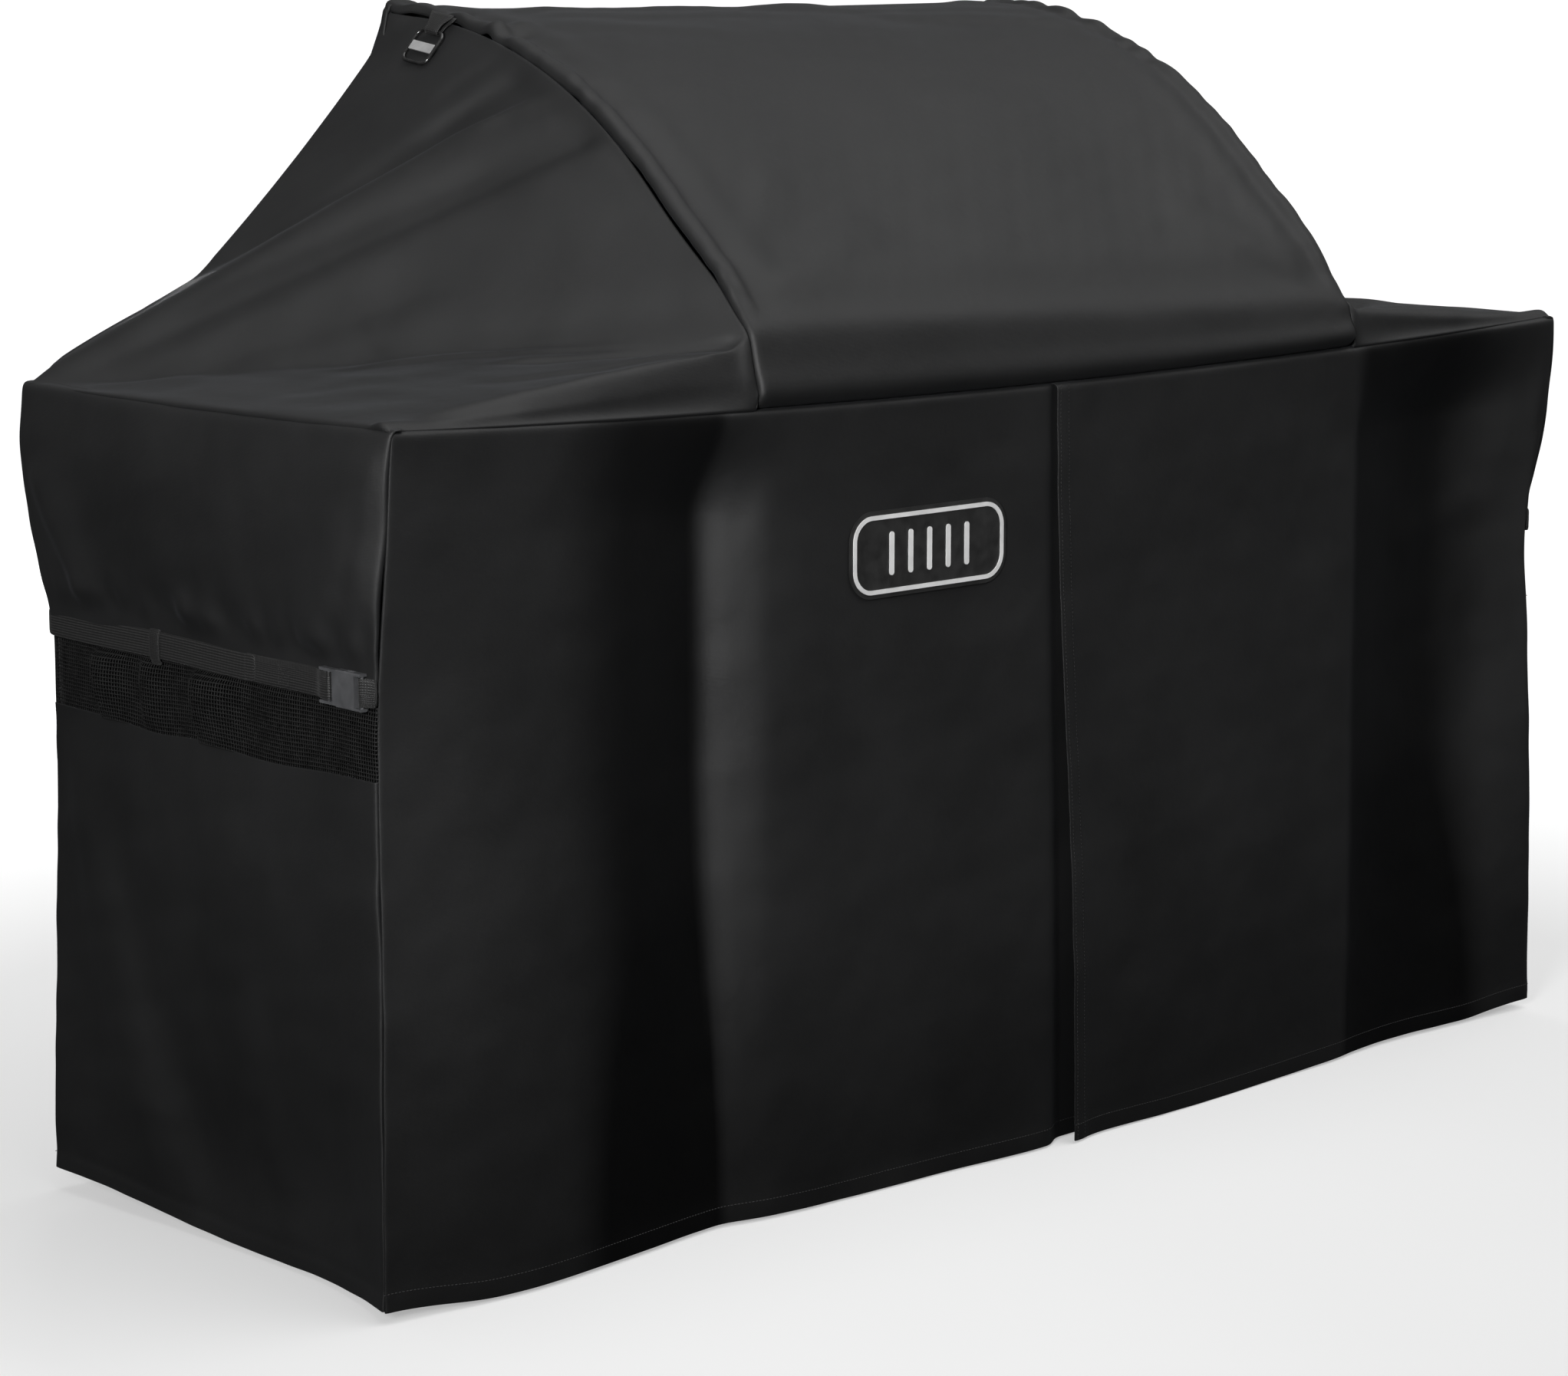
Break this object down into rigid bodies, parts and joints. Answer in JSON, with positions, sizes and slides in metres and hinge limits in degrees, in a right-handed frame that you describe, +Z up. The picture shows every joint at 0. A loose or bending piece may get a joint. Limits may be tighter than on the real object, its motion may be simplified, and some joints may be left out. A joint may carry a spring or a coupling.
{
  "type": "grill cover",
  "caption": "Fitted black fabric cover for a free-standing grill, with raised hood, sloping side gussets, mesh vents and buckled side straps.",
  "frame": {"origin": "middle of the footprint at the hem", "axes": "+X along the cover's width towards its right end, +Z up, -Y out of the front"},
  "size_m": [1.934, 0.6496, 1.355],
  "materials": {
    "cover_fabric": "woven polyester, soft sheen",
    "vent_mesh": "open coated mesh",
    "webbing": "ribbed polypropylene webbing",
    "buckle_plastic": "moulded, satin",
    "ring_metal": "gloss black",
    "ring_label": "satin grey",
    "badge_plate": "soft black",
    "badge_silver": "raised silver print"
  },
  "bodies": {
    "cover": {"back_panel": "cover_fabric", "badge_bars": "badge_silver", "badge_plate": "badge_plate", "badge_rim": "badge_silver", "front_panel_left": "cover_fabric", "front_panel_right": "cover_fabric", "front_placket_facing": "cover_fabric", "left_buckle_socket": "buckle_plastic", "left_end_lower": "cover_fabric", "left_end_upper": "cover_fabric", "left_gusset": "cover_fabric", "left_ring_tab": "webbing", "left_strap": "webbing", "left_strap_anchor": "webbing", "left_strap_keeper": "webbing", "left_vent_mesh": "vent_mesh", "lid_panel": "cover_fabric", "right_buckle_socket": "buckle_plastic", "right_end_lower": "cover_fabric", "right_end_upper": "cover_fabric", "right_gusset": "cover_fabric", "right_ring_tab": "webbing", "right_strap": "webbing", "right_strap_anchor": "webbing", "right_strap_keeper": "webbing", "right_vent_mesh": "vent_mesh"},
    "left_plug": {"left_buckle_plug": "buckle_plastic", "left_strap_tail": "webbing"},
    "left_ring": {"left_hang_ring": "ring_metal", "left_ring_label": "ring_label"},
    "left_prong_upper": {"left_buckle_prong_upper": "buckle_plastic"},
    "left_prong_lower": {"left_buckle_prong_lower": "buckle_plastic"},
    "right_plug": {"right_buckle_plug": "buckle_plastic", "right_strap_tail": "webbing"},
    "right_ring": {"right_hang_ring": "ring_metal", "right_ring_label": "ring_label"},
    "right_prong_upper": {"right_buckle_prong_upper": "buckle_plastic"},
    "right_prong_lower": {"right_buckle_prong_lower": "buckle_plastic"}
  },
  "joints": [
    {"name": "left_plug_slide", "type": "slide", "parent": "cover", "child": "left_plug", "axis": [0, 1, 0], "range_m": [0, 0.03]},
    {"name": "left_prong_upper_squeeze", "type": "hinge", "parent": "left_plug", "child": "left_prong_upper", "pos_m": [-0.962, -0.25345, 0.685], "axis": [1, 0, 0], "range_deg": [0, 8], "stiffness_Nm_per_rad": 0.05},
    {"name": "left_prong_lower_squeeze", "type": "hinge", "parent": "left_plug", "child": "left_prong_lower", "pos_m": [-0.962, -0.25345, 0.661], "axis": [-1, 0, 0], "range_deg": [0, 8], "stiffness_Nm_per_rad": 0.05},
    {"name": "left_ring_swing", "type": "hinge", "parent": "cover", "child": "left_ring", "pos_m": [-0.45881, 0.22865, 1.32902], "axis": [0, 0.9899, 0.1419], "range_deg": [0, 150]},
    {"name": "right_plug_slide", "type": "slide", "parent": "cover", "child": "right_plug", "axis": [0, 1, 0], "range_m": [0, 0.03]},
    {"name": "right_prong_upper_squeeze", "type": "hinge", "parent": "right_plug", "child": "right_prong_upper", "pos_m": [0.962, -0.25345, 0.685], "axis": [1, 0, 0], "range_deg": [0, 8], "stiffness_Nm_per_rad": 0.05},
    {"name": "right_prong_lower_squeeze", "type": "hinge", "parent": "right_plug", "child": "right_prong_lower", "pos_m": [0.962, -0.25345, 0.661], "axis": [-1, 0, 0], "range_deg": [0, 8], "stiffness_Nm_per_rad": 0.05},
    {"name": "right_ring_swing", "type": "hinge", "parent": "cover", "child": "right_ring", "pos_m": [0.58574, 0.22903, 1.32635], "axis": [0, -0.9899, -0.1419], "range_deg": [0, 150]}
  ]
}
